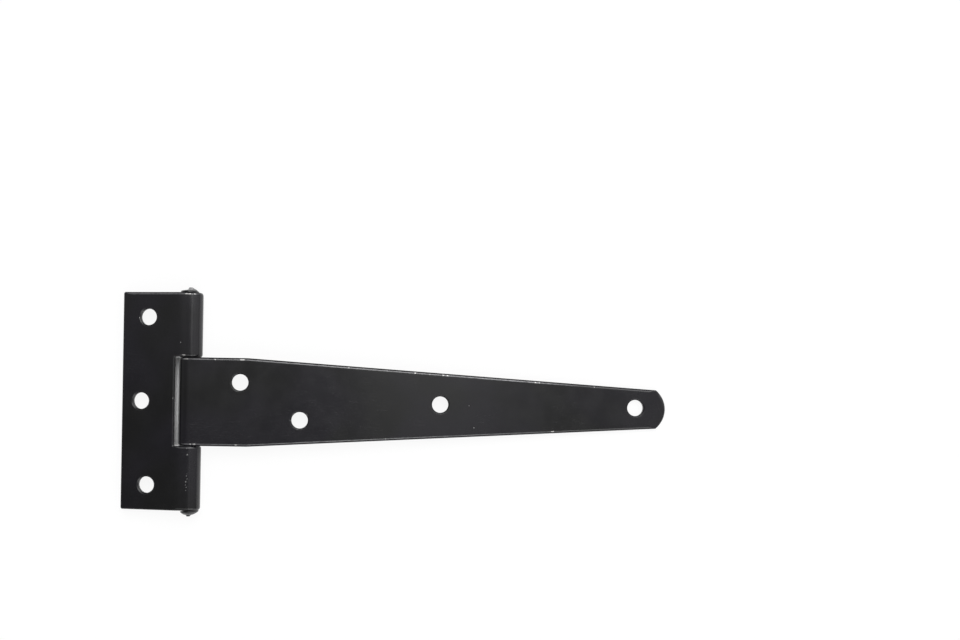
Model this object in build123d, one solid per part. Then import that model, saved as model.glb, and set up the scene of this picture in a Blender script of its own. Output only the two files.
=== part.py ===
from build123d import *
import os
from math import asin, atan, degrees, hypot

# A black tee hinge, all lengths in mm.
# A long tapered strap leaf and a short tall cross leaf are each one piece of sheet steel,
# rolled round a riveted pin. Both sheets pass over the pin and curl down and back under it,
# so their flush faces lie in one plane and the barrel stands out on the other side.
# Origin: on the pin's axis, half way along it. +X along the strap to its tip, +Y along the
# pin, +Z away from the barrel side, up from the table that the hinge lies on.

# Sheet, pin and rolls
sheet_thickness = 2.0
pin_diameter = 5.5
pin_play = 0.05             # radial gap between the pin and each roll
seam_gap = 0.4              # gap between a roll's free end and the back of its own sheet
knuckle_gap = 0.4           # gap at each end of the strap's knuckle
edge_round = 0.5            # rounding that the punch leaves round the flush face
rim_chamfer = 0.25          # the same, round each screw hole

# Strap leaf, measured along the strap from the pin's axis
strap_reach = 200.0
strap_base_width = 36.6
taper_start = 24.3
tip_width = 16.2            # width where the rounded end begins
tip_rise = 4.1              # length of the rounded end
screw_hole_diameter = 7.0
near_hole_edge = 10.0       # from the strap's edge to the centres of the two staggered holes
first_hole_reach = 21.2
second_hole_reach = 46.1
third_hole_reach = 104.7
tip_hole_inset = 12.7       # from the tip back to the last hole
far_hole_offset = 0.5       # the last two holes sit this far off the strap's middle

# Cross leaf, measured from the pin's axis and from its own edges
leaf_reach = 28.0
leaf_height = 90.8
leaf_corner_radius = 0.8
window_reach = 5.6          # from the pin's axis to the inner edge of the window
window_corner_radius = 0.4
end_hole_inset = 10.4       # from the leaf's top and bottom edges to the outer holes
end_hole_edge = 11.0        # from the leaf's free edge to the outer holes
middle_hole_edge = 8.2      # from the leaf's free edge to the middle hole

# Riveted ends of the pin: a straight rim, a domed crown and a small nub on top
head_diameter = 7.6
head_rim = 0.5              # straight edge of each head, next to the knuckle
formed_crown_height = 1.1   # from the knuckle to the foot of the nub
formed_crown_radius = 2.4
formed_foot_diameter = 4.8
formed_nub_diameter = 2.2
formed_head_height = 2.4
peened_crown_height = 2.1
peened_crown_radius = 4.2
peened_foot_diameter = 2.5
peened_nub_diameter = 1.7
peened_head_height = 3.0
head_chamfer = 0.15

# How far the cross leaf droops from level as the hinge lies on the table, held by its stiff pin
leaf_droop = 8.0

# Sizes that follow from those above
roll_inner = pin_diameter / 2 + pin_play
roll_outer = roll_inner + sheet_thickness
roll_turn = 270 + degrees(asin((roll_inner - seam_gap) / roll_outer))
window_height = strap_base_width + 2 * knuckle_gap
hole_radius = screw_hole_diameter / 2

# The strap lies on its barrel and on the back edge of its tip
strap_droop = degrees(asin(roll_outer / hypot(strap_reach, roll_inner)) + atan(roll_inner / strap_reach))


def strap_half_width(reach):
    """Half the strap's width at a distance from the pin's axis, past the parallel part."""
    taper_length = strap_reach - tip_rise - taper_start
    share = (reach - taper_start) / taper_length
    return strap_base_width / 2 + share * (tip_width - strap_base_width) / 2


def rolled_sheet(reach, width):
    """A flat sheet towards +X that passes over the pin's axis and curls round under it."""
    outer = CenterArc((0, 0), roll_outer, 90, roll_turn)
    inner = CenterArc((0, 0), roll_inner, 90, roll_turn)
    flush_side = Line((reach, roll_outer), outer @ 0)
    free_end = Line(outer @ 1, inner @ 1)
    barrel_side = Line(inner @ 0, (reach, roll_inner))
    sheet_end = Line((reach, roll_inner), (reach, roll_outer))
    outline = make_face(flush_side + outer + free_end + inner + barrel_side + sheet_end)
    return extrude(Plane.XZ * outline, amount=width / 2, both=True)


def through_block(plan):
    """The plan outline as a block that runs past the whole thickness of the hinge."""
    return extrude(plan, amount=2 * roll_outer, both=True)


def strap_plan():
    """Parallel part over the pin, long taper, and a rounded end with two slight corners."""
    side = strap_base_width / 2
    corner = strap_reach - tip_rise
    upper = Polyline((-roll_outer, side), (taper_start, side), (corner, tip_width / 2))
    tip = ThreePointArc((corner, tip_width / 2), (strap_reach, 0), (corner, -tip_width / 2))
    lower = Polyline((corner, -tip_width / 2), (taper_start, -side), (-roll_outer, -side))
    back = Line((-roll_outer, -side), (-roll_outer, side))
    return make_face(upper + tip + lower + back)


def leaf_plan():
    """Tall rectangle with eased free corners and a window that clears the strap's knuckle."""
    length = leaf_reach + roll_outer
    outline = Pos(leaf_reach - length / 2, 0) * Rectangle(length, leaf_height)
    free_corners = outline.vertices().sort_by(Axis.X)[-2:]
    outline = fillet(free_corners, leaf_corner_radius)
    depth = window_reach + 2 * roll_outer
    window = Pos(window_reach - depth / 2, 0) * Rectangle(depth, window_height)
    window = fillet(window.vertices().sort_by(Axis.X)[-2:], window_corner_radius)
    return outline - window


def ease_flush_edges(sheet):
    """Round the edges of the flush face, and of the rolls that carry it on round the pin."""
    flush_face = sheet.faces().filter_by(Axis.Z).sort_by(Axis.Z)[-1]
    rim = flush_face.edges().filter_by(lambda edge: edge.center().X > edge_round / 2)
    arcs = sheet.edges().filter_by(GeomType.CIRCLE)
    ends = arcs.filter_by(lambda edge: abs(edge.radius - roll_outer) < pin_play)
    ends = ends.filter_by(lambda edge: abs(edge.arc_center.Z) < pin_play)
    return fillet(rim + ends, edge_round)


def punch_holes(sheet, centres):
    """Screw holes straight through the sheet, with the rim broken on the flush face."""
    middle = (roll_inner + roll_outer) / 2
    for reach, offset in centres:
        sheet -= Pos(reach, offset, middle) * Cylinder(hole_radius, 2 * sheet_thickness)
    rims = sheet.edges().filter_by(GeomType.CIRCLE).filter_by(Plane.XY)
    rims = rims.filter_by(lambda edge: abs(edge.radius - hole_radius) < rim_chamfer / 2)
    return chamfer(rims.group_by(Axis.Z)[-1], rim_chamfer)


def strap_leaf():
    """The tapered strap, lying with its barrel and its tip on the table."""
    sheet = rolled_sheet(strap_reach + roll_outer, strap_base_width) & through_block(strap_plan())
    sheet = ease_flush_edges(sheet)
    tip_hole_reach = strap_reach - tip_hole_inset
    centres = [
        (first_hole_reach, strap_base_width / 2 - near_hole_edge),
        (second_hole_reach, near_hole_edge - strap_half_width(second_hole_reach)),
        (third_hole_reach, far_hole_offset),
        (tip_hole_reach, far_hole_offset),
    ]
    return Rot(0, strap_droop, 0) * punch_holes(sheet, centres)


def cross_leaf():
    """The tall leaf with its two knuckles, turned to point away from the strap."""
    sheet = rolled_sheet(leaf_reach + roll_outer, leaf_height) & through_block(leaf_plan())
    sheet = ease_flush_edges(sheet)
    end_hole = leaf_height / 2 - end_hole_inset
    centres = [
        (leaf_reach - end_hole_edge, end_hole),
        (leaf_reach - middle_hole_edge, 0),
        (leaf_reach - end_hole_edge, -end_hole),
    ]
    return Rot(0, -leaf_droop, 0) * Rot(0, 0, 180) * punch_holes(sheet, centres)


def pin_half(crown_height, crown_radius, foot_diameter, nub_diameter, height):
    """Half of the pin, from mid-length up to one riveted head, turned about its axis."""
    seat = leaf_height / 2
    rim = (head_diameter / 2, seat + head_rim)
    foot = (foot_diameter / 2, seat + crown_height)
    tip = seat + height
    shank = Polyline((0, 0), (pin_diameter / 2, 0), (pin_diameter / 2, seat), (head_diameter / 2, seat), rim)
    crown = RadiusArc(rim, foot, -crown_radius)
    nub = Polyline(
        foot, (nub_diameter / 2, tip - head_chamfer), (nub_diameter / 2 - head_chamfer, tip), (0, tip), (0, 0)
    )
    return revolve(make_face(shank + crown + nub), Axis.Y)


def hinge_pin():
    """The plain pin, with its formed head towards +Y and its peened end towards -Y."""
    formed = pin_half(
        formed_crown_height,
        formed_crown_radius,
        formed_foot_diameter,
        formed_nub_diameter,
        formed_head_height,
    )
    peened = pin_half(
        peened_crown_height,
        peened_crown_radius,
        peened_foot_diameter,
        peened_nub_diameter,
        peened_head_height,
    )
    return formed + Rot(0, 0, 180) * peened


os.makedirs("parts", exist_ok=True)
export_step(strap_leaf(), "parts/strap_leaf.step")
export_step(cross_leaf(), "parts/cross_leaf.step")
export_step(hinge_pin(), "parts/hinge_pin.step")
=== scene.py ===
from math import cos, hypot, pi, radians, sin, tan

import bpy
import numpy as np
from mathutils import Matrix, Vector, noise
from mathutils.geometry import delaunay_2d_cdt


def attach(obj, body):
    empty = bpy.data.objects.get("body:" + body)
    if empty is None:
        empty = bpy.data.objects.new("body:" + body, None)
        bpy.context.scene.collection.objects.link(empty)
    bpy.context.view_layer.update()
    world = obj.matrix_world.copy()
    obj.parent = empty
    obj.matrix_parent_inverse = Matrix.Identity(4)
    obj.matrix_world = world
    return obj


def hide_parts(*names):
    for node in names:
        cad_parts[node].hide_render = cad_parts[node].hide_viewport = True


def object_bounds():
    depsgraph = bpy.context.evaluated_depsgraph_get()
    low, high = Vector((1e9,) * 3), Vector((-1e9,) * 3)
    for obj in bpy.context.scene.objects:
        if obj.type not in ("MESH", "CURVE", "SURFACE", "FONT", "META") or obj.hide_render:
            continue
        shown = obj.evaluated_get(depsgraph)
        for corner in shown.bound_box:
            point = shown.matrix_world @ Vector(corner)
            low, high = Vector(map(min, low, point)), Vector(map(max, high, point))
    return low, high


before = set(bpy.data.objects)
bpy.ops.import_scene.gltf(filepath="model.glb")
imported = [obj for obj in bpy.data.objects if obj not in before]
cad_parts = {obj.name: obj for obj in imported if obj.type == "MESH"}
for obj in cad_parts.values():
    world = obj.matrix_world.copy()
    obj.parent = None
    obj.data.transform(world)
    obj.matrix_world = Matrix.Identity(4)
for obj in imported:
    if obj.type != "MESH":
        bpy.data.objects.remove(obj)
cad_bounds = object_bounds()

# A black tee hinge. Each leaf is one sheet that is laid out flat as (along, across, depth): along
# from the pin's axis to the free end and, below 0, round the roll; depth from the flush face down.
# Its outline and its punched edges are made there, and then it is bent round the pin.
# Lengths of the pieces are in millimetres and are turned into metres by MM.
MM = 0.001
MICROMETRE = 1e-6

# Sheet and rolls
THICKNESS = 2.0
ROLL_INNER = 2.8
ROLL_OUTER = ROLL_INNER + THICKNESS
ROLL_TURN = radians(300)
ROLL_LENGTH = ROLL_OUTER * ROLL_TURN
ROLL_CORNER = 0.6             # rounding of the corners at each roll's free end

# Strap leaf, measured along the strap from the pin's axis. Widths are with their paint.
STRAP_REACH = 199.99
STRAP_HALF_WIDTH = 18.36
TAPER_START = 24.3
TAPER_HALF_WIDTH = 18.42      # the strap widens slightly up to there
TIP_HALF_WIDTH = 8.14
TIP_RISE = 4.1
STRAP_DROOP = radians(2.177)
STRAP_HOLES = ((21.2, 8.3), (46.1, -7.044), (104.7, 0.5), (187.3, 0.5))

# Cross leaf, measured from the pin's axis
LEAF_REACH = 27.96
LEAF_HALF_HEIGHT = 45.4
LEAF_CORNER = 0.8
LEAF_DROOP = radians(8.0)
WINDOW_REACH = 5.5
WINDOW_HALF_HEIGHT = 18.56
WINDOW_CORNER = 0.4
LEAF_HOLES = ((17.0, 35.0), (19.8, 0.0), (17.0, -35.0))
HOLE_RADIUS = 3.42

# Punched edges: a rounding beside the flush face, then a smooth wall, a torn wall and the back
FLUSH_WIDTH = 1.06            # width of the rounding
CORNER_WIDTH = 0.45           # its width at corners and along the edges that stayed sharp
HOLE_WIDTH = 0.60             # its width round the screw holes
# How steep the rounding is in degrees, by the share of its width from the flush face outwards
FLUSH_TILTS = ((0, 0), (0.12, 11), (0.46, 22), (0.58, 40), (1, 42))
HOLE_TILTS = ((0, 0), (0.08, 10), (0.22, 22), (0.36, 41), (1, 43))
EDGE_RINGS = 12
NARROW_REACH = 0.8            # how far from such a corner or edge the rounding stays narrow
WIDEN_OVER = 2.4              # the length over which it then widens
LIP = 0.03                    # keeps the shading crisp where the rounding meets the wall
BREAK_DEPTH = 0.95            # depth at which the wall turns from smooth to torn
BREAK_STEP = 0.07             # how far the torn part stands back
BREAK_SHAPE = ((0.6, 0.2), (1.0, 0.5))    # its (share of that step, depth below the break)
BACK_ROUND = 0.12             # rounding of the back's edge
BACK_STEPS = 3
# Points spread along the leaf's sharp edges, which are those of its window, free end and lower end
WINDOW_PLACES = 38
FREE_END_PLACES = 92
LOWER_END_PLACES = 23
LOWER_END_START = 6

# Spacing of the mesh
EDGE_STEP = 0.36
GRID_STEP = 2.4
FINE_ROWS = 3                 # rows stay fine round the roll and this many grid steps past the pin
BUFFER_INSET = 1.7            # a ring of points this far inside each outline
BUFFER_EVERY = 3              # one for every so many points of the outline
BUFFER_CLEAR = 0.85           # and at least this share of BUFFER_INSET from every outline
FINE_CLEAR = 0.7              # how far inner points keep from the outlines where rows are fine
COARSE_CLEAR = 1.7            # and where they are coarse
BLOCK = 500                   # points measured at once
TINY = 1e-6                   # what counts as no distance
FILL_TOLERANCE = 1e-7

# Unevenness of the rolled and pressed sheet
STRAP_DIP = 0.10              # depth of the dip where each sheet starts to roll
LEAF_DIP = 0.44
DIP_PLACE = -1.0
DIP_SPREAD = 3.0
WAVE_DEPTH = 0.035
WAVE_LENGTH = 17.0
STRAP_SEED = 11.0
LEAF_SEED = 29.0

# Chips in the paint of the edges, most where the rounding is about CHIP_TILT degrees steep
CHIP_TILT = 19
CHIP_FULL = 5                 # degrees off that tilt at which they start to get fewer
CHIP_NONE = 15                # and at which there are none
CHIP_SIZES = (3.1, 0.9)
CHIP_SHARES = (0.62, 0.38)
CHIP_LEVEL = 0.80             # noise above this is a chip where there is no wear
WORN_LEVEL = 0.32             # and full wear lowers that level by this much
CHIP_SOFTNESS = 0.05
CHIP_DEPTH = 0.05

# Wear of the edges by the place along the sheet: how likely a chip is, and how much the paint is
# rubbed light, a light line along the edge that is also a painted highlight. Each level is an even
# one with (height, middle, spread) humps on it, and each fade has its start, its end and the share
# that is left there.
ON_EDGE = 0.1                 # points of an outline this near to an edge lie on it
HOLE_CHIPS = 0.40
UPPER_CHIPS = (0.35, (0.65, 1, 6), (0.50, 20, 5), (0.15, 60, 60))
LOWER_CHIPS = (0.35, (0.55, 2, 5), (0.20, 14, 12))
STRAP_CHIPS_FROM = -12
UPPER_RUB_AND_HIGHLIGHT = (0.4, (0.6, 138, 24))
UPPER_RUB_AND_HIGHLIGHT_FADE = (150, 164, 0.1)
LOWER_RUB_AND_HIGHLIGHT = (0.3, (0.2, 55, 25))
LOWER_RUB_AND_HIGHLIGHT_FADE = (125, 175, 0.0)
STRAP_RUB_AND_HIGHLIGHT_FROM = -3
STRAP_RUB_AND_HIGHLIGHT_TO = 196
LEAF_CHIPS = 0.35
LEAF_CHIPS_FROM = -9
KNUCKLE_CHIPS = 0.50          # on the inner ends of the leaf's knuckles
KNUCKLE_CHIPS_REACH = 5       # and this far along the sheet from the pin, both ways
TOP_CHIPS = (0.0, (0.55, -0.8, 1.9))      # added on the leaf's upper end
TOP_FROM = -5
# the leaf's upper end: rubbed paint and a painted highlight by the top head
TOP_RUB_AND_HIGHLIGHT = 0.36
LEAF_RUB_AND_HIGHLIGHT = 0.04

# Riveted pin
PIN_RADIUS = 2.75
HEAD_RADIUS = 3.8
# Each head: height of the rim, of the crown's foot, crown radius, foot and nub radius, whole height
FORMED_HEAD = (0.6, 1.3, 6.0, 2.15, 0.95, 2.4)
PEENED_HEAD = (0.5, 2.2, 4.2, 1.1, 0.8, 2.8)
# Rounded edges in shares of HEAD_EDGE: the rim's as (inwards, up) and the nub's as (inwards, down)
HEAD_EDGE = 0.12
RIM_EDGE = ((1, 0), (0.3, 0.3), (0, 1))
NUB_EDGE = ((0, 1.4), (0.5, 0.4), (1.6, 0))
RIM_SHARE = 0.7               # share of the rim's height at which it has one more ring
CROWN_RINGS = 11
FLANK_STEPS = 4
NUB_DIP = 0.02                # how much lower the nub's end is, half way to its middle
# How far each head leans off the pin's axis, as (height, lean along X)
FORMED_LEAN = ((0, -0.85), (0.9, -0.85), (1.4, 0.1), (2.4, -0.5))
PEENED_LEAN = ((0, 0.4), (0.9, 0.4), (2.1, 0.0), (3.0, -0.12))
FORMED_TILT = 0.35            # how much further from the knuckle each rim is on its leaf side
PEENED_TILT = 0.75
FORMED_BARE = 1.05            # height above which each head is bare
PEENED_BARE = 0.55
BARE_SOFTNESS = 0.25
PEENED_NUB = 2.45             # height above which the peened end is painted again
NUB_SOFTNESS = 0.3
PIN_SEGMENTS = 96
SHANK_RINGS = 13
HAMMER_DEPTH = 0.11
HAMMER_SIZES = (1.5, 0.6)
HAMMER_SHARES = (0.35, 0.15)
HAMMER_SEEDS = (9, 31)
HAMMER_START = 0.3            # height over which the marks of the hammer set in
HAMMER_ALONG = 0.6            # share of their depth that is along the pin
NUB_RADIUS = 1.2              # inside it the marks go in by only NUB_HAMMERED of their depth
NUB_HAMMERED = 0.4

# Black paint: its colours, and how strongly each mark shows
PAINT_DARK = (0.0055, 0.0055, 0.0057, 1)
PAINT_BLUISH = (0.0073, 0.0067, 0.0093, 1)
PAINT_THIN = (0.020, 0.020, 0.022, 1)
# light colour of rubbed paint, also the painted highlight along the edges
PAINT_RUBBED_AND_HIGHLIT = (0.22, 0.22, 0.23, 1)
SCRATCH_COLOUR = (0.05, 0.05, 0.055, 1)
GRIT_COLOUR = (0.20, 0.20, 0.20, 1)
CHIP_COLOUR = (0.38, 0.375, 0.37, 1)
THIN_SHARE = 0.25
SCRATCH_SHARE = 0.20
GRIT_SHARE = 0.75
PAINT_ROUGHNESS = (0.19, 0.25)
SCRATCH_ROUGHNESS = 0.10      # added to the paint's
CHIP_ROUGHNESS = 0.42
PAINT_IOR = 1.5
# Heights of the paint's surface, in micrometres
PEEL_HEIGHT = 5.0
FINE_HEIGHT = 0.7
SCRATCH_HEIGHT = 1.5
GRIT_HEIGHT = 6.0
PAINT_HEIGHT = 14.0
# Its noises, as (size in mm, detail, roughness of the detail)
BROAD_NOISE = (34, 2, 0.5)
PATCH_NOISE = (9, 4, 0.6)
FINE_NOISE = (0.55, 3, 0.65)
PEEL_NOISE = (1.5, 1.5, 0.5)
RUB_AND_HIGHLIGHT_NOISE = (2.6, 3, 0.6)
# The part of a noise or mask over which it goes from nothing to full
BROAD_RANGE = (0.38, 0.62)
THIN_EDGE_RANGE = (0.55, 1.0)
THIN_RANGE = (0.35, 0.7)
RUB_AND_HIGHLIGHT_RANGE = (0.32, 0.55)
CHIP_RANGE = (0.45, 0.62)
ROUGHNESS_RANGE = (0.3, 0.7)
RUB_AND_HIGHLIGHT_LEAST = 0.35
CHIP_RAGGED = 0.9             # how much the fine noise frays a chip
# Hairlines in three directions, as (direction in radians, size in mm)
SCRATCH_SETS = ((0.35, 2.1), (-1.1, 3.4), (1.45, 2.7))
SCRATCH_STRETCH = 0.025       # scale of their pattern along them
SCRATCH_DEEP = 0.3            # and through the sheet
SCRATCH_NOISE = (0.35, 1, 0.5)
SCRATCH_WIDTH = 0.0035        # how far off its middle value the noise still makes a hairline
SCRATCH_PATCH = 13            # size of the patches that have them, in sizes of the hairlines
SCRATCH_RANGE = (0.52, 0.66)
# Grit: strewn specks, whose radii are shares of the spacing, and the frayed specks at the marks
GRIT_SPACING = 15.0
GRIT_CHANCE = 0.10
GRIT_RADIUS = (0.010, 0.022)
MARK_RIM = (0.6, 1.2)         # from solid to nothing, in radii of the mark
MARK_RAGGED = 0.5

# Pin: bare steel on its heads, darker on the peened end, and paint
PIN_STEEL = ((0.22, 0.22, 0.225, 1), (0.42, 0.42, 0.425, 1))
PIN_DARKER_STEEL = ((0.045, 0.045, 0.046, 1), (0.12, 0.12, 0.12, 1))
PIN_PAINT = (0.0060, 0.0060, 0.0070, 1)
PIN_PAINT_ROUGHNESS = 0.32
PIN_STEEL_ROUGHNESS = (0.26, 0.46)
PIN_BLOTCH_NOISE = (0.8, 3, 0.6)
PIN_FINE_NOISE = (0.15, 2, 0.5)
PIN_BLOTCH_RANGE = (0.35, 0.65)
PIN_BARE_RANGE = (0.42, 0.62)
PIN_BARE_RAGGED = 1.1
PIN_BLOTCH_HEIGHT = 14.0
PIN_FINE_HEIGHT = 2.0

# Grit and chips at the places where the photograph shows them, as (pixel, radius in mm)
STRAP_MARKS = (((469, 405.8), 0.20), ((474, 427.8), 0.24))
LEAF_MARKS = (
    ((180.6, 342.2), 0.22),
    ((186.0, 448.5), 0.22),
    ((187.0, 454.8), 0.34),
    ((186.5, 474.0), 0.16),
    ((186.0, 476.0), 0.20),
    ((186.6, 479.0), 0.18),
    ((185.4, 481.8), 0.34),
    ((185.0, 485.2), 0.18),
    ((185.8, 487.5), 0.20),
    ((185.2, 490.5), 0.16),
)

# Floor, in metres
FLOOR_REACH = 4.0
FLOOR_COLOUR = (0.93, 0.93, 0.93, 1)
FLOOR_GLOW = 0.90             # share of plain white in what the camera sees of the floor
FLOOR_MIRRORED = 0.5          # how much of that glow reflections see
COVER_REACH = 0.03            # how far round a place of the floor the steel above it counts
COVER_LEVELS = (0.25, 0.55)   # open share of the sky there, from covered to open
# The floor under the slit beside the knuckle has no glow while the leaf covers it, in mm
SHADE_MIDDLE = (-7.2, 0.0)
SHADE_HALF = (2.6, 19.0)
SHADE_SOFTNESS = 0.8

# The studio's brightness by the angle from straight up towards +X, and what it is multiplied by,
# by the angle towards +Y, in degrees
ACROSS_LEVELS = (
    (-90, 0.26), (-55, 0.17), (-32, 0.14), (-9, 0.23), (-2, 0.19), (1.5, 0.22), (3.5, 0.62),
    (5, 0.90), (9, 0.84), (11, 0.40), (15, 0.29), (18, 0.23), (20, 0.52), (26, 0.52), (40, 0.48),
    (60, 0.50), (76, 0.50), (82, 0.28), (90, 0.24),
)
ALONG_LEVELS = (
    (-90, 0.24), (-72, 0.40), (-58, 1.60), (-46, 5.00), (-24, 4.40), (-17, 0.95), (-12, 0.82),
    (-4, 0.84), (-2, 0.96), (0, 1.00), (2.5, 1.30), (5, 1.95), (11, 2.20), (17, 5.40), (46, 5.80),
    (58, 1.10), (70, 0.34), (90, 0.22),
)
# What it is multiplied by at the studio's sides, where its two bright bands have ended
SIDE_LEVELS = (
    (-90, 0.24), (-62, 1.20), (-40, 2.80), (-24, 1.30), (-17, 0.90), (-12, 0.82), (-4, 0.84),
    (-2, 0.96), (0, 1.00), (2.5, 1.30), (5, 1.95), (11, 1.90), (20, 0.90), (45, 0.70), (90, 0.22),
)
SIDE_START = radians(38)      # angle to +X or -X at which the bands start to fade
SIDE_END = radians(62)
WORLD_MOST = 4.4              # the studio is nowhere brighter
WHITE = (1, 1, 1, 1)

# Softbox, in metres and watts per square metre and steradian
LAMP_TARGET = (0.08, 0.0, 0.0)
LAMP_TOWARD = (radians(3), radians(31))    # from straight up, to +X and to +Y
LAMP_DISTANCE = 1.2
LAMP_SIZE = (0.52, 0.70)
LAMP_RADIANCE = 3.4

# Camera, in metres: straight down, at the place worked out from the photograph's perspective
PICTURE_WIDTH = 960
PICTURE_HEIGHT = 640
FOCAL_PIXELS = 926.0
AXIS_PIXEL = (393.0, 401.8)   # where the lens axis meets the picture
SENSOR_WIDTH = 36.0
CAMERA_PLACE = (0.0850, 0.00134, 0.3883)
CAMERA_ROLL = radians(1.0)
CAMERA_NEAR = 0.01


def near(value, middle, spread):
    """1 at the middle, falling off smoothly to both sides over about the spread."""
    return np.exp(-((value - middle) / spread) ** 2)


def level_along(place, even, *humps):
    """A level that is even but for some (height, middle, spread) humps."""
    level = np.full(len(place), even)
    for height, middle, spread in humps:
        level = level + height * near(place, middle, spread)
    return level


def fade(place, start, end, rest):
    """1 up to the start, then falling to the rest at the end and beyond."""
    return 1 - (1 - rest) * np.clip((place - start) / (end - start), 0, 1)


def line_points(start, end):
    """Points from start up to, not with, end. A line along the sheet has them at whole steps."""
    length = hypot(end[0] - start[0], end[1] - start[1])
    if abs(end[1] - start[1]) < TINY:
        low, high = sorted((start[0], end[0]))
        first = int(np.floor((low + EDGE_STEP / 2) / EDGE_STEP)) + 1
        last = int(np.ceil((high - EDGE_STEP / 2) / EDGE_STEP)) - 1
        steps = [(k * EDGE_STEP, start[1]) for k in range(first, last + 1)]
        return [start] + (steps if end[0] > start[0] else steps[::-1])
    count = max(1, round(length / EDGE_STEP))
    share = np.arange(count) / count
    return [(start[0] + t * (end[0] - start[0]), start[1] + t * (end[1] - start[1])) for t in share]


def arc_points(centre, radius, first, last, step):
    """Points round an arc, up to, not with, its last one."""
    count = max(3, round(abs(last - first) * radius / step))
    angles = [first + (last - first) * k / count for k in range(count)]
    return [(centre[0] + radius * cos(a), centre[1] + radius * sin(a)) for a in angles]


def rounded_loop(corners):
    """A closed outline through (along, across, radius) corners, each with its rounding."""
    count = len(corners)
    pieces = []
    for k in range(count):
        here = np.array(corners[k][:2])
        before = np.array(corners[k - 1][:2])
        after = np.array(corners[(k + 1) % count][:2])
        radius = corners[k][2]
        come = (here - before) / np.linalg.norm(here - before)
        go = (after - here) / np.linalg.norm(after - here)
        turn = np.arctan2(come[0] * go[1] - come[1] * go[0], come @ go)
        if radius == 0:
            pieces.append((tuple(here), [], tuple(here)))
            continue
        inset = radius * abs(np.tan(turn / 2))
        start = here - inset * come
        side = np.sign(turn)
        centre = start + side * radius * np.array((-come[1], come[0]))
        first = np.arctan2(*(start - centre)[::-1])
        arc = arc_points(centre, radius, first, first + turn, EDGE_STEP / 2)
        pieces.append((tuple(start), arc, tuple(here + inset * go)))
    loop = []
    for k in range(count):
        start, arc, end = pieces[k]
        loop += arc
        loop += line_points(end, pieces[(k + 1) % count][0])
    return np.array(loop)


def strap_loop():
    """The strap's outline, laid out flat: its roll, the parallel part, the taper and the tip."""
    side = STRAP_HALF_WIDTH
    corner = STRAP_REACH - TIP_RISE
    loop = rounded_loop([
        (-ROLL_LENGTH, side, ROLL_CORNER),
        (-ROLL_LENGTH, -side, ROLL_CORNER),
        (TAPER_START, -TAPER_HALF_WIDTH, 0),
        (corner, -TIP_HALF_WIDTH, 0),
        (corner, TIP_HALF_WIDTH, 0),
        (TAPER_START, TAPER_HALF_WIDTH, 0),
    ])
    tip_radius = (TIP_HALF_WIDTH ** 2 + TIP_RISE ** 2) / (2 * TIP_RISE)
    half_angle = np.arcsin(TIP_HALF_WIDTH / tip_radius)
    tip = arc_points((STRAP_REACH - tip_radius, 0), tip_radius, -half_angle, half_angle, EDGE_STEP)
    end = np.flatnonzero(loop[:, 0] > corner - TINY)
    return np.concatenate((loop[:end[0]], tip, [(corner, TIP_HALF_WIDTH)], loop[end[-1] + 1:]))


def leaf_loop():
    """The cross leaf's outline, laid out flat: two rolls with the window between them."""
    top, gap = LEAF_HALF_HEIGHT, WINDOW_HALF_HEIGHT
    return rounded_loop([
        (-ROLL_LENGTH, -gap, ROLL_CORNER),
        (-ROLL_LENGTH, -top, ROLL_CORNER),
        (LEAF_REACH, -top, LEAF_CORNER),
        (LEAF_REACH, top, LEAF_CORNER),
        (-ROLL_LENGTH, top, ROLL_CORNER),
        (-ROLL_LENGTH, gap, ROLL_CORNER),
        (WINDOW_REACH, gap, WINDOW_CORNER),
        (WINDOW_REACH, -gap, WINDOW_CORNER),
    ])


def hole_loop(centre):
    """A screw hole's outline, turned the other way round, so that the steel lies to its left."""
    return np.array(arc_points(centre, HOLE_RADIUS, 2 * pi, 0, EDGE_STEP))


def inward(loop):
    """For each point of a loop, the step into the steel that moves both its edges by 1 mm."""
    ahead = np.roll(loop, -1, axis=0) - loop
    ahead /= np.linalg.norm(ahead, axis=1)[:, None]
    left = np.stack((-ahead[:, 1], ahead[:, 0]), axis=1)
    before = np.roll(left, 1, axis=0)
    middle = left + before
    middle /= np.linalg.norm(middle, axis=1)[:, None]
    return middle / np.sum(middle * left, axis=1)[:, None]


def edge_section(width, tilts):
    """A punched edge from the flush face to the back, as (inset, depth, chance of a chip) steps.

    The width of its rounding and all that is in the steps has one value for each outline point.
    """
    shares, angles = np.array(tilts).T
    none = np.zeros(len(width))
    section = [(width, none, none)]
    lip = none
    for k in range(EDGE_RINGS):
        share = (k + 1) / EDGE_RINGS
        step_tilt = np.interp(share - 0.5 / EDGE_RINGS, shares, angles)
        lip = lip + width / EDGE_RINGS * tan(radians(step_tilt))
        off_tilt = abs(np.interp(share, shares, angles) - CHIP_TILT)
        chance = np.clip((CHIP_NONE - off_tilt) / (CHIP_NONE - CHIP_FULL), 0, 1)
        section.append((width * (1 - share), lip, none + chance))
    section.append((none, lip + LIP, none))
    wall = [(0, BREAK_DEPTH)]
    wall += [(BREAK_STEP * share, BREAK_DEPTH + deeper) for share, deeper in BREAK_SHAPE]
    for k in range(BACK_STEPS + 1):
        angle = radians(90) * k / BACK_STEPS
        inset = BREAK_STEP + BACK_ROUND * (1 - cos(angle))
        wall.append((inset, THICKNESS - BACK_ROUND * (1 - sin(angle))))
    return section + [(none + inset, none + depth, none) for inset, depth in wall]


def rounding_width(loop, narrow_places):
    """How wide the rounding is at each point of an outline: narrow near the narrow places."""
    gap = np.linalg.norm(loop[:, None] - np.array(narrow_places)[None], axis=2).min(axis=1)
    share = np.clip((gap - NARROW_REACH) / WIDEN_OVER, 0, 1)
    return CORNER_WIDTH + (FLUSH_WIDTH - CORNER_WIDTH) * share * share * (3 - 2 * share)


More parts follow.
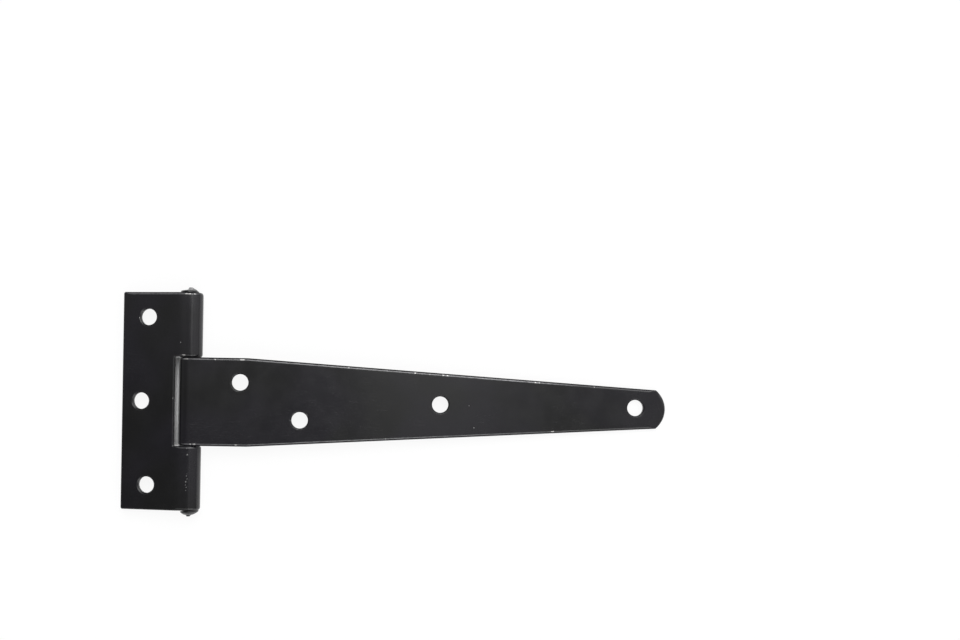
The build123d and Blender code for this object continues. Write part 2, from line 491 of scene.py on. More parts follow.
def inside(points, loop):
    """Whether each point lies inside a closed outline."""
    x, y = points[:, 0][:, None], points[:, 1][:, None]
    x0, y0 = loop[:, 0][None], loop[:, 1][None]
    x1, y1 = np.roll(loop[:, 0], -1)[None], np.roll(loop[:, 1], -1)[None]
    crosses = (y0 > y) != (y1 > y)
    rise = np.where(y1 == y0, 1.0, y1 - y0)
    return (np.sum(crosses & (x < (x1 - x0) * (y - y0) / rise + x0), axis=1) % 2) == 1


def distance_to(points, loops):
    """The distance from each point to the nearest point of the loops."""
    outline = np.concatenate(loops)
    blocks = [points[start:start + BLOCK] for start in range(0, len(points), BLOCK)]
    gaps = [np.linalg.norm(block[:, None] - outline[None], axis=2).min(axis=1) for block in blocks]
    return np.concatenate(gaps)


def field_points(loops):
    """Points inside the sheet, fine along the rolls and coarse where the sheet is flat."""
    outline = loops[0]
    low, high = outline.min(axis=0), outline.max(axis=0)
    fine_end = FINE_ROWS * GRID_STEP
    rows = np.arange(np.ceil(low[1] / GRID_STEP), np.floor(high[1] / GRID_STEP) + 1) * GRID_STEP
    roll = np.arange(np.ceil(low[0] / EDGE_STEP), fine_end / EDGE_STEP) * EDGE_STEP
    flat = np.arange(FINE_ROWS, np.floor(high[0] / GRID_STEP) + 1) * GRID_STEP
    grid = np.array([(s, y) for s in np.concatenate((roll, flat)) for y in rows])
    buffers = [loop[::BUFFER_EVERY] + BUFFER_INSET * inward(loop)[::BUFFER_EVERY] for loop in loops]
    buffers = np.concatenate([ring[ring[:, 0] > fine_end] for ring in buffers])
    buffers = buffers[inside(buffers, outline)]
    buffers = buffers[distance_to(buffers, loops) > BUFFER_CLEAR * BUFFER_INSET]
    grid = grid[inside(grid, outline)]
    for loop in loops[1:]:
        grid = grid[~inside(grid, loop)]
    clear = np.where(grid[:, 0] < fine_end, FINE_CLEAR, COARSE_CLEAR)
    grid = grid[distance_to(grid, loops) > clear]
    return np.concatenate((buffers, grid))


def fill(rings, points):
    """Triangles between the rings and the points inside, as indices into rings, then points."""
    coords = [Vector(p) for ring in rings for p in ring] + [Vector(p) for p in points]
    owner = np.concatenate([np.full(len(ring), number) for number, ring in enumerate(rings)])
    owner = np.append(owner, np.full(len(points), -1))
    edges = []
    start = 0
    for ring in rings:
        count = len(ring)
        edges += [(start + k, start + (k + 1) % count) for k in range(count)]
        start += count
    _, _, faces, origins, _, _ = delaunay_2d_cdt(coords, edges, [], 1, FILL_TOLERANCE)
    index = np.array([origin[0] for origin in origins])
    faces = index[np.array([face[:] for face in faces])]
    owners = owner[faces]
    in_hole = (owners[:, 0] > 0) & (owners[:, 0] == owners[:, 1]) & (owners[:, 1] == owners[:, 2])
    return faces[~in_hole]


def bend(along, across, depth):
    """Where a point of the laid-out sheet goes once the sheet is rolled."""
    angle = np.where(along < 0, -along / ROLL_OUTER, 0)
    radius = ROLL_OUTER - depth
    x = np.where(along < 0, -radius * np.sin(angle), along)
    z = np.where(along < 0, radius * np.cos(angle), radius)
    return np.stack((x, across, z), axis=1)


def sheet_noise(points, length, seed):
    """Smooth noise from 0 to 1 over the laid-out sheet."""
    places = [Vector((p[0] / length, p[1] / length, seed)) for p in points]
    return np.array([0.5 + 0.5 * noise.noise(place) for place in places])


def chip_mask(points, amount, seed):
    """Where the paint is off along an edge: 0 is whole and 1 is bare."""
    coarse = sheet_noise(points, CHIP_SIZES[0], seed)
    fine = sheet_noise(points, CHIP_SIZES[1], seed + 7.3)
    level = CHIP_SHARES[0] * coarse + CHIP_SHARES[1] * fine
    return np.clip((level - (CHIP_LEVEL - WORN_LEVEL * amount)) / CHIP_SOFTNESS, 0, 1)


def dip_share(along):
    """How much of the dip where the sheet starts to roll is felt at a place along the sheet."""
    return near(along, DIP_PLACE, DIP_SPREAD)


def edge_rings(loops, narrow_places, wear, seed):
    """The rings of points round the outline and the holes, from the flush face to the back.

    Gives one row for each point, as (along, across, depth, chip, rub_and_highlight, edge), the
    faces between the rings, and the numbers of the points of each first and each last ring.
    """
    rows, faces, first_rings, last_rings = [], [], [], []
    start = 0
    for number, loop in enumerate(loops):
        count = len(loop)
        if number == 0:
            amount, rub_and_highlight = wear(loop)
            section = edge_section(rounding_width(loop, narrow_places), FLUSH_TILTS)
        else:
            amount, rub_and_highlight = np.full(count, HOLE_CHIPS), np.zeros(count)
            section = edge_section(np.full(count, HOLE_WIDTH), HOLE_TILTS)
        worn = chip_mask(loop, amount, seed + number)
        step = inward(loop)
        for inset, depth, chance in section:
            flat = loop + inset[:, None] * step
            edge = 1 - inset / BUFFER_INSET
            rows.append(np.column_stack((flat, depth, worn * chance, rub_and_highlight * chance, edge)))
        for ring in range(len(section) - 1):
            a = start + ring * count + np.arange(count)
            b = start + ring * count + (np.arange(count) + 1) % count
            faces += np.stack((a, a + count, b + count, b), axis=1).tolist()
        first_rings.append(np.arange(count) + start)
        last_rings.append(np.arange(count) + start + (len(section) - 1) * count)
        start += count * len(section)
    return np.concatenate(rows), faces, first_rings, last_rings


def face_triangles(flat, rings, field, upward):
    """The flush face's or the back's triangles, as indices into flat, then the inner points."""
    triangles = fill([flat[ring] for ring in rings], field)
    lookup = np.concatenate(rings + [np.arange(len(field)) + len(flat)])
    triangles = lookup[triangles]
    a, b, c = (np.append(flat, field, axis=0)[triangles[:, k]] for k in range(3))
    clockwise = (b[:, 0] - a[:, 0]) * (c[:, 1] - a[:, 1]) < (b[:, 1] - a[:, 1]) * (c[:, 0] - a[:, 0])
    return np.where((clockwise == upward)[:, None], triangles[:, ::-1], triangles).tolist()


def build_sheet(name, loops, narrow_places, wear, roll_dip, seed):
    """The rolled sheet as one closed mesh, with punched edges and the sheet's slight waves."""
    rows, faces, first_rings, last_rings = edge_rings(loops, narrow_places, wear, seed)
    field = field_points(loops)
    for rings, depth, upward in ((first_rings, 0.0, True), (last_rings, THICKNESS, False)):
        faces += face_triangles(rows[:, :2], rings, field, upward)
        inner = np.zeros((len(field), rows.shape[1]))
        inner[:, :2] = field
        inner[:, 2] = depth
        rows = np.append(rows, inner, axis=0)
    used, faces = only_used(faces)
    along, across, depth, chip, rub_and_highlight, edge = rows[used].T
    dip = roll_dip * dip_share(along)
    wave = WAVE_DEPTH * sheet_noise(rows[used, :2], WAVE_LENGTH, seed + 3.7)
    outer_share = 1 - depth / THICKNESS
    depth = depth + (dip + wave) * outer_share + CHIP_DEPTH * chip * (depth < THICKNESS / 2)
    return make_mesh(name, bend(along, across, depth), faces, {"chip": chip, "rub_and_highlight": rub_and_highlight, "edge": edge})


def only_used(faces):
    """The points that the faces use, and the faces numbered by them."""
    used = np.unique(np.concatenate([np.array(face) for face in faces]))
    number = np.zeros(used[-1] + 1, dtype=int)
    number[used] = np.arange(len(used))
    return used, [number[face].tolist() for face in faces]


def make_mesh(name, places, faces, masks):
    """A mesh in metres from places in millimetres, with each mask as a value at its vertices."""
    mesh = bpy.data.meshes.new(name)
    mesh.from_pydata((places * MM).tolist(), [], faces)
    for mask, values in masks.items():
        mesh.attributes.new(mask, "FLOAT", "POINT").data.foreach_set("value", values.astype(np.float32))
    return mesh


def smooth(mesh):
    """Smooth shading whose normals follow the larger faces, so that flat faces stay flat."""
    mesh.update()
    normals = np.zeros((len(mesh.vertices), 3))
    for face in mesh.polygons:
        normals[list(face.vertices)] += np.array(face.normal) * face.area
    lengths = np.linalg.norm(normals, axis=1)
    normals /= np.where(lengths > 0, lengths, 1)[:, None]
    mesh.polygons.foreach_set("use_smooth", [True] * len(mesh.polygons))
    mesh.normals_split_custom_set_from_vertices(normals.tolist())


def turn_about_pin(mesh, angle):
    """Turn the mesh's points about the pin's axis, +X towards -Z."""
    places = np.zeros(len(mesh.vertices) * 3)
    mesh.vertices.foreach_get("co", places)
    x, y, z = places.reshape(-1, 3).T
    turned = np.stack((x * cos(angle) + z * sin(angle), y, z * cos(angle) - x * sin(angle)), axis=1)
    mesh.vertices.foreach_set("co", turned.ravel())


def half_turn_about_z(mesh):
    """Turn the mesh's points half round, so that what points to +X points to -X."""
    places = np.zeros(len(mesh.vertices) * 3)
    mesh.vertices.foreach_get("co", places)
    places = places.reshape(-1, 3) * (-1, -1, 1)
    mesh.vertices.foreach_set("co", places.ravel())


def strap_wear(loop):
    """How likely a chip is round the strap, and its light line: rubbed paint and painted highlight."""
    reach, across = loop.T
    upper_chips, lower_chips = level_along(reach, *UPPER_CHIPS), level_along(reach, *LOWER_CHIPS)
    upper_rub_and_highlight = level_along(reach, *UPPER_RUB_AND_HIGHLIGHT) * fade(reach, *UPPER_RUB_AND_HIGHLIGHT_FADE)
    lower_rub_and_highlight = level_along(reach, *LOWER_RUB_AND_HIGHLIGHT) * fade(reach, *LOWER_RUB_AND_HIGHLIGHT_FADE)
    chips = np.where(across > 0, upper_chips, lower_chips)
    rub_and_highlight = np.where(across > 0, upper_rub_and_highlight, lower_rub_and_highlight)
    rubbed_and_highlit = (reach > STRAP_RUB_AND_HIGHLIGHT_FROM) & (reach < STRAP_RUB_AND_HIGHLIGHT_TO)
    return chips * (reach > STRAP_CHIPS_FROM), rub_and_highlight * rubbed_and_highlit


def leaf_wear(loop):
    """The same round the cross leaf: most on the inner ends of its knuckles and by the top head.

    The leaf is laid out turned half round, so that its upper end is the one below 0 across.
    """
    reach, across = loop.T
    inner_end = (abs(across) < WINDOW_HALF_HEIGHT + ON_EDGE) & (abs(reach) < KNUCKLE_CHIPS_REACH)
    upper_end = (across < -LEAF_HALF_HEIGHT + ON_EDGE) & (reach > TOP_FROM)
    chips = np.where(inner_end, KNUCKLE_CHIPS, LEAF_CHIPS) * (reach > LEAF_CHIPS_FROM)
    chips += upper_end * level_along(reach, *TOP_CHIPS)
    # its light line is rubbed paint and a painted highlight, strongest on the upper end
    return chips, np.where(upper_end, TOP_RUB_AND_HIGHLIGHT, LEAF_RUB_AND_HIGHLIGHT)


def add_piece(name, mesh, material, body, node):
    """Put a finished mesh in the scene, on its body and in the place of the CAD node."""
    smooth(mesh)
    piece = bpy.data.objects.new(name, mesh)
    bpy.context.collection.objects.link(piece)
    mesh.materials.append(material)
    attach(piece, body)
    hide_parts(node)


def make_camera():
    """A camera that looks straight down, shifted so that the hinge sits as in the photograph."""
    data = bpy.data.cameras.new("camera")
    data.sensor_width = SENSOR_WIDTH
    data.lens = FOCAL_PIXELS * SENSOR_WIDTH / PICTURE_WIDTH
    data.shift_x = (PICTURE_WIDTH / 2 - AXIS_PIXEL[0]) / PICTURE_WIDTH
    data.shift_y = (AXIS_PIXEL[1] - PICTURE_HEIGHT / 2) / PICTURE_WIDTH
    data.clip_start = CAMERA_NEAR
    camera = bpy.data.objects.new("camera", data)
    camera.location = CAMERA_PLACE
    camera.rotation_euler = (0, 0, CAMERA_ROLL)
    bpy.context.collection.objects.link(camera)
    bpy.context.scene.camera = camera


def crown_points(rim, foot, radius):
    """The domed crown of a pin head, from its rim to the foot of its nub."""
    rim, foot = np.array(rim), np.array(foot)
    half = (foot - rim) / 2
    reach = np.linalg.norm(half)
    across = np.array((-half[1], half[0])) / reach
    centre = rim + half + np.sqrt(radius ** 2 - reach ** 2) * across
    first = np.arctan2(*(rim - centre)[::-1])
    last = np.arctan2(*(foot - centre)[::-1])
    angles = np.linspace(first, last, CROWN_RINGS)
    return [tuple(centre + radius * np.array((cos(t), sin(t)))) for t in angles]


def head_profile(rim_height, crown_height, crown_radius, foot, nub, height):
    """A riveted head's (radius, height above the knuckle) points, from the shank to the axis."""
    nub_edge = [(nub - inwards * HEAD_EDGE, height - down * HEAD_EDGE) for inwards, down in NUB_EDGE]
    shoulder, flat = nub_edge[0], nub_edge[-1]
    points = [(PIN_RADIUS, 0.0)]
    points += [(HEAD_RADIUS - inwards * HEAD_EDGE, up * HEAD_EDGE) for inwards, up in RIM_EDGE]
    points += [(HEAD_RADIUS, rim_height * RIM_SHARE)]
    points += crown_points((HEAD_RADIUS, rim_height), (foot, crown_height), crown_radius)
    for step in range(1, FLANK_STEPS):
        share = step / FLANK_STEPS
        flank_height = crown_height + share * (shoulder[1] - crown_height)
        points.append((foot + share * (shoulder[0] - foot), flank_height))
    return points + nub_edge + [(flat[0] / 2, height - NUB_DIP)]


def lean_at(height, stops):
    """How far a head leans at a height above its knuckle."""
    heights, leans = zip(*stops)
    return np.interp(height, heights, leans)


def hammer_dents(radius, along, angle):
    """How deep the hammer marked each point of the pin, from 0 to 1."""
    dents = []
    for r, y, turn in zip(radius, along, angle):
        place = Vector((r * cos(turn), y, r * sin(turn)))
        dent = 0.5
        for size, share, seed in zip(HAMMER_SIZES, HAMMER_SHARES, HAMMER_SEEDS):
            dent += share * noise.noise(place / size + Vector((0, 0, seed)))
        dents.append(dent)
    return np.array(dents)


def pin_faces(rings):
    """Quads between the pin's rings, and a fan over each end round the last two points."""
    ring_start = np.arange(PIN_SEGMENTS)
    ring_next = (ring_start + 1) % PIN_SEGMENTS
    faces = []
    for ring in range(rings - 1):
        a, b = ring * PIN_SEGMENTS + ring_start, ring * PIN_SEGMENTS + ring_next
        faces += np.stack((a, a + PIN_SEGMENTS, b + PIN_SEGMENTS, b), axis=1).tolist()
    last = (rings - 1) * PIN_SEGMENTS
    low_end = rings * PIN_SEGMENTS
    for k, after in zip(ring_start.tolist(), ring_next.tolist()):
        faces.append([low_end, k, after])
        faces.append([low_end + 1, last + after, last + k])
    return faces


def build_pin():
    """The pin turned about its axis, with heads that the hammer left slightly uneven."""
    profile = [(r, -LEAF_HALF_HEIGHT - h) for r, h in head_profile(*PEENED_HEAD)[::-1]]
    shank = np.linspace(-LEAF_HALF_HEIGHT, LEAF_HALF_HEIGHT, SHANK_RINGS)[1:-1]
    profile += [(PIN_RADIUS, y) for y in shank]
    profile += [(r, LEAF_HALF_HEIGHT + h) for r, h in head_profile(*FORMED_HEAD)]
    radius, along = (np.repeat(column, PIN_SEGMENTS) for column in np.array(profile).T)
    angle = np.tile(np.arange(PIN_SEGMENTS) * 2 * pi / PIN_SEGMENTS, len(profile))
    above = np.abs(along) - LEAF_HALF_HEIGHT
    formed = along >= 0
    on_head = above > -TINY

    dents = hammer_dents(radius, along, angle) * HAMMER_DEPTH * np.clip(above / HAMMER_START, 0, 1)
    radius = radius - dents * np.where(radius > NUB_RADIUS, 1, NUB_HAMMERED)
    along = along - np.sign(along) * HAMMER_ALONG * dents
    lean = np.where(formed, lean_at(above, FORMED_LEAN), lean_at(above, PEENED_LEAN))
    across = radius * np.cos(angle) + lean * on_head
    crown = np.where(formed, FORMED_HEAD[1], PEENED_HEAD[1])
    tilt = (HEAD_RADIUS - across) / (2 * HEAD_RADIUS) * np.clip(1 - above / crown, 0, 1) * on_head
    along = along + tilt * np.where(formed, FORMED_TILT, -PEENED_TILT)

    places = np.stack((across, along, radius * np.sin(angle)), axis=1)
    low_end = (PEENED_LEAN[-1][1], profile[0][1] + HAMMER_DEPTH, 0)
    high_end = (FORMED_LEAN[-1][1], profile[-1][1] - HAMMER_DEPTH, 0)
    places = np.append(places, [low_end, high_end], axis=0)

    bare = np.clip((above - np.where(formed, FORMED_BARE, PEENED_BARE)) / BARE_SOFTNESS, 0, 1)
    bare *= np.where(formed, 1, np.clip((PEENED_NUB - above) / NUB_SOFTNESS, 0, 1))
    masks = {"bare": np.append(bare, (0, 1)), "peened_end": np.append(1.0 - formed, (1, 0))}
    return make_mesh("riveted_pin", places, pin_faces(len(profile)), masks)


class Nodes:
    """Short ways to add nodes to a material or world and join them."""

    def __init__(self, owner):
        """Start with the owner's node tree empty."""
        owner.use_nodes = True
        self.tree = owner.node_tree
        self.tree.nodes.clear()

    def add(self, kind, inputs=(), output=0, **settings):
        """A node with its settings and inputs given; a socket as an input is linked."""
        made = self.tree.nodes.new(kind)
        for name, value in settings.items():
            setattr(made, name, value)
        for name, value in dict(inputs).items():
            if isinstance(value, bpy.types.NodeSocket):
                self.tree.links.new(value, made.inputs[name])
            else:
                made.inputs[name].default_value = value
        return made.outputs[output] if made.outputs else None

    def mask(self, name):
        """One of the mesh's own values, as make_mesh gave it."""
        return self.add("ShaderNodeAttribute", output=2, attribute_name=name)

    def math(self, operation, first, second=0.0):
        """Two numbers, or one, put through an operation."""
        return self.add("ShaderNodeMath", {0: first, 1: second}, operation=operation)

    def product(self, first, second):
        """Two numbers multiplied."""
        return self.math("MULTIPLY", first, second)

    def millimetres(self):
        """The place on the piece at rest, in millimetres."""
        metres = self.add("ShaderNodeTexCoord", output=3)
        return self.add("ShaderNodeMapping", {"Vector": metres, "Scale": (1 / MM,) * 3})

    def ramp(self, value, low, high, start=0.0, end=1.0):
        """A smooth step from start to end as the value goes from low to high."""
        inputs = {"Value": value, "From Min": low, "From Max": high, "To Min": start, "To Max": end}
        return self.add("ShaderNodeMapRange", inputs, interpolation_type="SMOOTHSTEP")

    def mix(self, share, first, second):
        """Two colours mixed by a share."""
        return self.add("ShaderNodeMix", {0: share, 6: first, 7: second}, output=2, data_type="RGBA")

    def blend(self, share, first, second):
        """Two numbers mixed by a share."""
        return self.add("ShaderNodeMix", {0: share, 2: first, 3: second}, output=0, data_type="FLOAT")

    def noise(self, place, size, detail=2.0, roughness=0.5):
        """Noise from 0 to 1 with features of about this size, in the units of the place."""
        inputs = {"Vector": place, "Scale": 1 / size, "Detail": detail, "Roughness": roughness}
        return self.add("ShaderNodeTexNoise", inputs, output=0)

    def frayed(self, value, noise_value, amount):
        """A value moved up and down by a noise, so that its border frays."""
        return self.math("ADD", value, self.product(self.math("SUBTRACT", noise_value, 0.5), amount))

    def levels(self, angle, stops):
        """A value that runs smoothly through (degrees, value) stops."""
        curve = self.tree.nodes.new("ShaderNodeFloatCurve")
        points = curve.mapping.curves[0].points
        low, high = stops[0][0], stops[-1][0]
        top = max(value for _, value in stops)
        points[0].location = (0, stops[0][1] / top)
        points[1].location = (1, stops[-1][1] / top)
        for degree, value in stops[1:-1]:
            points.new((degree - low) / (high - low), value / top)
        curve.mapping.update()
        inputs = {"Value": angle, "From Min": radians(low), "From Max": radians(high)}
        share = self.add("ShaderNodeMapRange", inputs)
        self.tree.links.new(share, curve.inputs["Value"])
        return self.product(curve.outputs[0], top)


def pixel_on_sheet(pixel, droop, side, roll_dip):
    """Where a pixel's line of sight meets a leaf's flush face, in mm. The side is +1 or -1 along X."""
    right = (pixel[0] - AXIS_PIXEL[0]) / FOCAL_PIXELS
    up = (AXIS_PIXEL[1] - pixel[1]) / FOCAL_PIXELS
    across = right * cos(CAMERA_ROLL) - up * sin(CAMERA_ROLL)
    along = right * sin(CAMERA_ROLL) + up * cos(CAMERA_ROLL)
    ray = np.array((across, along, -1.0))
    eye = np.array(CAMERA_PLACE) / MM
    normal = np.array((side * sin(droop), 0, cos(droop)))
    place = eye + ray * (ROLL_OUTER - eye @ normal) / (ray @ normal)
    return place - normal * (roll_dip * dip_share(side * place[0]) + WAVE_DEPTH / 2)


def paint_tint(n, place, fine):
    """Near black, bluish in broad patches, thin along the edges and rubbed light on some of them,
    which is also a painted highlight.
    """
    broad = n.ramp(n.noise(place, *BROAD_NOISE), *BROAD_RANGE)
    tint = n.mix(broad, PAINT_DARK, PAINT_BLUISH)
    thin = n.product(n.ramp(n.mask("edge"), *THIN_EDGE_RANGE), n.ramp(fine, *THIN_RANGE))
    tint = n.mix(n.product(thin, THIN_SHARE), tint, PAINT_THIN)
    # rubbed paint and the painted highlight along the edges
    rubbed_and_highlit = n.ramp(n.noise(place, *RUB_AND_HIGHLIGHT_NOISE), *RUB_AND_HIGHLIGHT_RANGE, RUB_AND_HIGHLIGHT_LEAST, 1.0)
    return n.mix(n.product(n.mask("rub_and_highlight"), rubbed_and_highlit), tint, PAINT_RUBBED_AND_HIGHLIT)


def paint_grit(n, place, fine, marks):
    """Specks of grit, a few strewn about and the others at the given (place, radius) marks."""
    cells = n.tree.nodes.new("ShaderNodeTexVoronoi")
    cells.inputs["Scale"].default_value = 1 / GRIT_SPACING
    n.tree.links.new(place, cells.inputs["Vector"])
    cell_value = n.add("ShaderNodeSeparateColor", {0: cells.outputs["Color"]})
    chosen = n.math("LESS_THAN", cell_value, GRIT_CHANCE)
    grit = n.product(chosen, n.ramp(cells.outputs["Distance"], *GRIT_RADIUS, 1.0, 0.0))
    wobble = n.product(n.math("SUBTRACT", fine, 0.5), MARK_RAGGED)
    solid, rim = MARK_RIM
    for centre, radius in marks:
        ends = {0: place, 1: tuple(centre)}
        gap = n.add("ShaderNodeVectorMath", ends, output=1, operation="DISTANCE")
        spot = n.ramp(n.math("ADD", gap, wobble), radius * solid, radius * rim, 1.0, 0.0)
        grit = n.math("MAXIMUM", grit, spot)
    return grit


def paint_scratches(n, place):
    """Faint hairlines in a few directions, each set only in some patches."""
    scratches = 0.0
    for turn, size in SCRATCH_SETS:
        stretch = (SCRATCH_STRETCH, 1 / size, SCRATCH_DEEP)
        inputs = {"Vector": place, "Rotation": (0, 0, turn), "Scale": stretch}
        lines = n.noise(n.add("ShaderNodeMapping", inputs), *SCRATCH_NOISE)
        off_line = n.math("ABSOLUTE", n.math("SUBTRACT", lines, 0.5))
        line = n.ramp(off_line, 0.0, SCRATCH_WIDTH, 1.0, 0.0)
        patch = n.ramp(n.noise(place, SCRATCH_PATCH * size), *SCRATCH_RANGE)
        scratches = n.math("MAXIMUM", n.product(line, patch), scratches)
    return scratches


def metal_surface(n, colour, metallic, roughness, height):
    """The one shader of a painted or bare piece, with its height in micrometres as bump."""
    bump = n.add("ShaderNodeBump", {"Strength": 1.0, "Distance": MICROMETRE, "Height": height})
    shader = n.add("ShaderNodeBsdfPrincipled", {
        "Base Color": colour, "Metallic": metallic, "Roughness": roughness,
        "Normal": bump, "IOR": PAINT_IOR,
    })
    n.add("ShaderNodeOutputMaterial", {"Surface": shader})


def black_paint(name, marks):
    """Semi-gloss black paint: orange peel, grit, hairline scratches, and chips to bare steel."""
    material = bpy.data.materials.new(name)
    n = Nodes(material)
    place = n.millimetres()
    fine = n.noise(place, *FINE_NOISE)
    bare = n.ramp(n.frayed(n.mask("chip"), fine, CHIP_RAGGED), *CHIP_RANGE)
    grit = paint_grit(n, place, fine, marks)
    scratch = paint_scratches(n, place)

    colour = n.mix(n.product(scratch, SCRATCH_SHARE), paint_tint(n, place, fine), SCRATCH_COLOUR)
    colour = n.mix(n.product(grit, GRIT_SHARE), colour, GRIT_COLOUR)
    colour = n.mix(bare, colour, CHIP_COLOUR)

    roughness = n.ramp(n.noise(place, *PATCH_NOISE), *ROUGHNESS_RANGE, *PAINT_ROUGHNESS)
    roughness = n.math("ADD", roughness, n.product(scratch, SCRATCH_ROUGHNESS))
    roughness = n.blend(n.math("MAXIMUM", bare, grit), roughness, CHIP_ROUGHNESS)

    peel = n.product(n.noise(place, *PEEL_NOISE), PEEL_HEIGHT)
    height = n.math("ADD", peel, n.product(fine, FINE_HEIGHT))
    height = n.math("SUBTRACT", height, n.product(scratch, SCRATCH_HEIGHT))
    height = n.math("ADD", height, n.product(grit, GRIT_HEIGHT))
    height = n.math("SUBTRACT", height, n.product(bare, PAINT_HEIGHT))
    metal_surface(n, colour, bare, roughness, height)
    return material


def pin_finish():
    """Bare hammered steel on the heads, black paint low on their rims and along the shank."""
    material = bpy.data.materials.new("pin_finish")
    n = Nodes(material)
    place = n.millimetres()
    blotch = n.noise(place, *PIN_BLOTCH_NOISE)
    fine = n.noise(place, *PIN_FINE_NOISE)
    bare = n.ramp(n.frayed(n.mask("bare"), blotch, PIN_BARE_RAGGED), *PIN_BARE_RANGE)
    blotched = n.ramp(blotch, *PIN_BLOTCH_RANGE)
    # the peened end's steel is darker than the formed head's
    steel = n.mix(n.mask("peened_end"), n.mix(blotched, *PIN_STEEL), n.mix(blotched, *PIN_DARKER_STEEL))
    colour = n.mix(bare, PIN_PAINT, steel)
    steel_roughness = n.ramp(fine, *ROUGHNESS_RANGE, *PIN_STEEL_ROUGHNESS)
    roughness = n.blend(bare, PIN_PAINT_ROUGHNESS, steel_roughness)
    height = n.product(blotch, PIN_BLOTCH_HEIGHT)
    height = n.math("ADD", height, n.product(fine, PIN_FINE_HEIGHT))
    metal_surface(n, colour, bare, roughness, height)
    return material


def inside_box(n, place, centre, half):
    """1 inside a rectangle of the floor and 0 outside it, with soft sides."""
    parts = n.tree.nodes.new("ShaderNodeSeparateXYZ")
    n.tree.links.new(place, parts.inputs[0])
    inner = 1.0
    for axis in (0, 1):
        gap = n.math("ABSOLUTE", n.math("SUBTRACT", parts.outputs[axis], centre[axis]))
        part = n.ramp(gap, half[axis] - SHADE_SOFTNESS, half[axis] + SHADE_SOFTNESS, 1.0, 0.0)
        inner = n.product(part, inner)
    return inner


def floor_paint():
    """Matt white that glows to the camera, except in the covered shade under the slit."""
    material = bpy.data.materials.new("floor")
    n = Nodes(material)
    path = n.tree.nodes.new("ShaderNodeLightPath")
    mirrored = n.product(path.outputs["Is Glossy Ray"], FLOOR_MIRRORED)
    seen = n.math("MAXIMUM", path.outputs["Is Camera Ray"], mirrored)
    seen = n.math("MAXIMUM", seen, path.outputs["Is Transmission Ray"])
    sky = n.add("ShaderNodeAmbientOcclusion", {"Distance": COVER_REACH}, output=1, samples=8)
    covered = n.ramp(sky, *COVER_LEVELS, 1.0, 0.0)
    shade = n.product(covered, inside_box(n, n.millimetres(), SHADE_MIDDLE, SHADE_HALF))
    share = n.product(n.product(seen, FLOOR_GLOW), n.math("SUBTRACT", 1.0, shade))
    lit = n.add("ShaderNodeBsdfDiffuse", {"Color": FLOOR_COLOUR})
    glow = n.add("ShaderNodeEmission", {"Strength": 1.0})
    surface = n.add("ShaderNodeMixShader", {0: share, 1: lit, 2: glow})
    n.add("ShaderNodeOutputMaterial", {"Surface": surface})
    return material


def make_floor():
    """A plain white floor. The camera and reflections see it near white, and it keeps soft shadows."""
    low = cad_bounds[0][2]
    mesh = bpy.data.meshes.new("floor")
    corners = [(x * FLOOR_REACH, y * FLOOR_REACH, low) for x, y in ((-1, -1), (1, -1), (1, 1), (-1, 1))]
    mesh.from_pydata(corners, [], [(0, 1, 2, 3)])
    mesh.materials.append(floor_paint())
    floor = bpy.data.objects.new("floor", mesh)
    bpy.context.collection.objects.link(floor)


def make_world():
    """A dim studio with two bright bands, towards +Y and -Y, that the camera sees as white."""
    world = bpy.data.worlds.new("world")
    bpy.context.scene.world = world
    n = Nodes(world)
    direction = n.add("ShaderNodeTexCoord", output=0)
    parts = n.tree.nodes.new("ShaderNodeSeparateXYZ")
    n.tree.links.new(direction, parts.inputs[0])
    across = n.math("ARCTAN2", parts.outputs["X"], parts.outputs["Z"])
    along = n.math("ARCSINE", parts.outputs["Y"])
    banded = n.ramp(n.math("ABSOLUTE", across), SIDE_START, SIDE_END, 1.0, 0.0)
    along_level = n.blend(banded, n.levels(along, SIDE_LEVELS), n.levels(along, ALONG_LEVELS))
    level = n.product(n.levels(across, ACROSS_LEVELS), along_level)
    level = n.math("MINIMUM", level, WORLD_MOST)
    to_camera = n.add("ShaderNodeLightPath", output=0)
    inputs = {"Color": WHITE, "Strength": n.blend(to_camera, level, 1.0)}
    n.add("ShaderNodeOutputWorld", {"Surface": n.add("ShaderNodeBackground", inputs)})


def make_softbox():
    """One soft rectangular lamp above the hinge, facing it."""
    direction = Vector((tan(LAMP_TOWARD[0]), tan(LAMP_TOWARD[1]), 1)).normalized()
    width, height = LAMP_SIZE
    data = bpy.data.lights.new("main_softbox", "AREA")
    data.shape = "RECTANGLE"
    data.size = width
    data.size_y = height
    data.energy = LAMP_RADIANCE * pi * width * height
    lamp = bpy.data.objects.new("main_softbox", data)
    lamp.location = Vector(LAMP_TARGET) + direction * LAMP_DISTANCE
    lamp.rotation_euler = direction.to_track_quat("Z", "Y").to_euler()
    bpy.context.collection.objects.link(lamp)


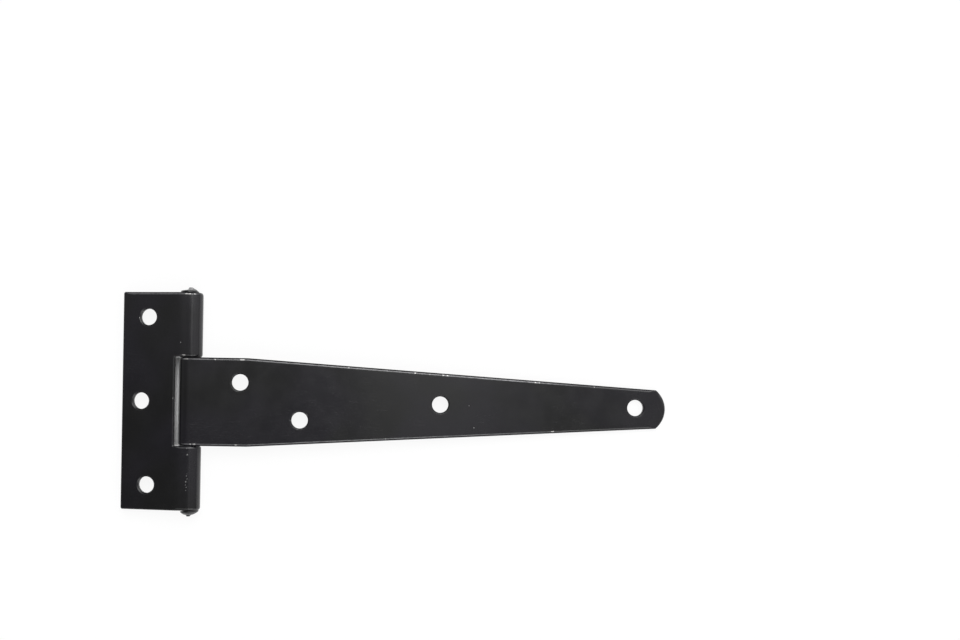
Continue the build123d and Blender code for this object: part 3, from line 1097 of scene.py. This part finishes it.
def both_sides(*corners):
    """Each (reach, half) corner of an outline, on both sides of its middle."""
    return [(reach, side * half) for reach, half in corners for side in (-1, 1)]


def add_strap():
    """The tapered strap, lying with its barrel and its tip on the floor."""
    loops = [strap_loop()] + [hole_loop(centre) for centre in STRAP_HOLES]
    narrow = both_sides((-ROLL_LENGTH, STRAP_HALF_WIDTH), (STRAP_REACH - TIP_RISE, TIP_HALF_WIDTH))
    mesh = build_sheet("strap_sheet", loops, narrow, strap_wear, STRAP_DIP, STRAP_SEED)
    turn_about_pin(mesh, STRAP_DROOP)
    marks = [(pixel_on_sheet(pixel, STRAP_DROOP, 1, STRAP_DIP), r) for pixel, r in STRAP_MARKS]
    paint = black_paint("strap_paint", marks)
    add_piece("strap_sheet", mesh, paint, "strap", "strap_leaf")


def add_leaf():
    """The tall cross leaf, turned to point away from the strap."""
    loops = [leaf_loop()] + [hole_loop(centre) for centre in LEAF_HOLES]
    top, gap = LEAF_HALF_HEIGHT, WINDOW_HALF_HEIGHT
    narrow = both_sides((-ROLL_LENGTH, top), (-ROLL_LENGTH, gap), (LEAF_REACH, top))
    narrow += [(WINDOW_REACH, across) for across in np.linspace(-gap, gap, WINDOW_PLACES)]
    narrow += [(LEAF_REACH, across) for across in np.linspace(-top, top, FREE_END_PLACES)]
    narrow += [(reach, top) for reach in np.linspace(LOWER_END_START, LEAF_REACH, LOWER_END_PLACES)]
    mesh = build_sheet("cross_sheet", loops, narrow, leaf_wear, LEAF_DIP, LEAF_SEED)
    half_turn_about_z(mesh)
    turn_about_pin(mesh, -LEAF_DROOP)
    marks = [(pixel_on_sheet(pixel, LEAF_DROOP, -1, LEAF_DIP), r) for pixel, r in LEAF_MARKS]
    paint = black_paint("leaf_paint", marks)
    add_piece("cross_sheet", mesh, paint, "leaf", "cross_leaf")


make_camera()
make_floor()
make_world()
make_softbox()
add_strap()
add_leaf()
add_piece("riveted_pin", build_pin(), pin_finish(), "leaf", "hinge_pin")

bpy.context.scene.view_settings.view_transform = "Standard"
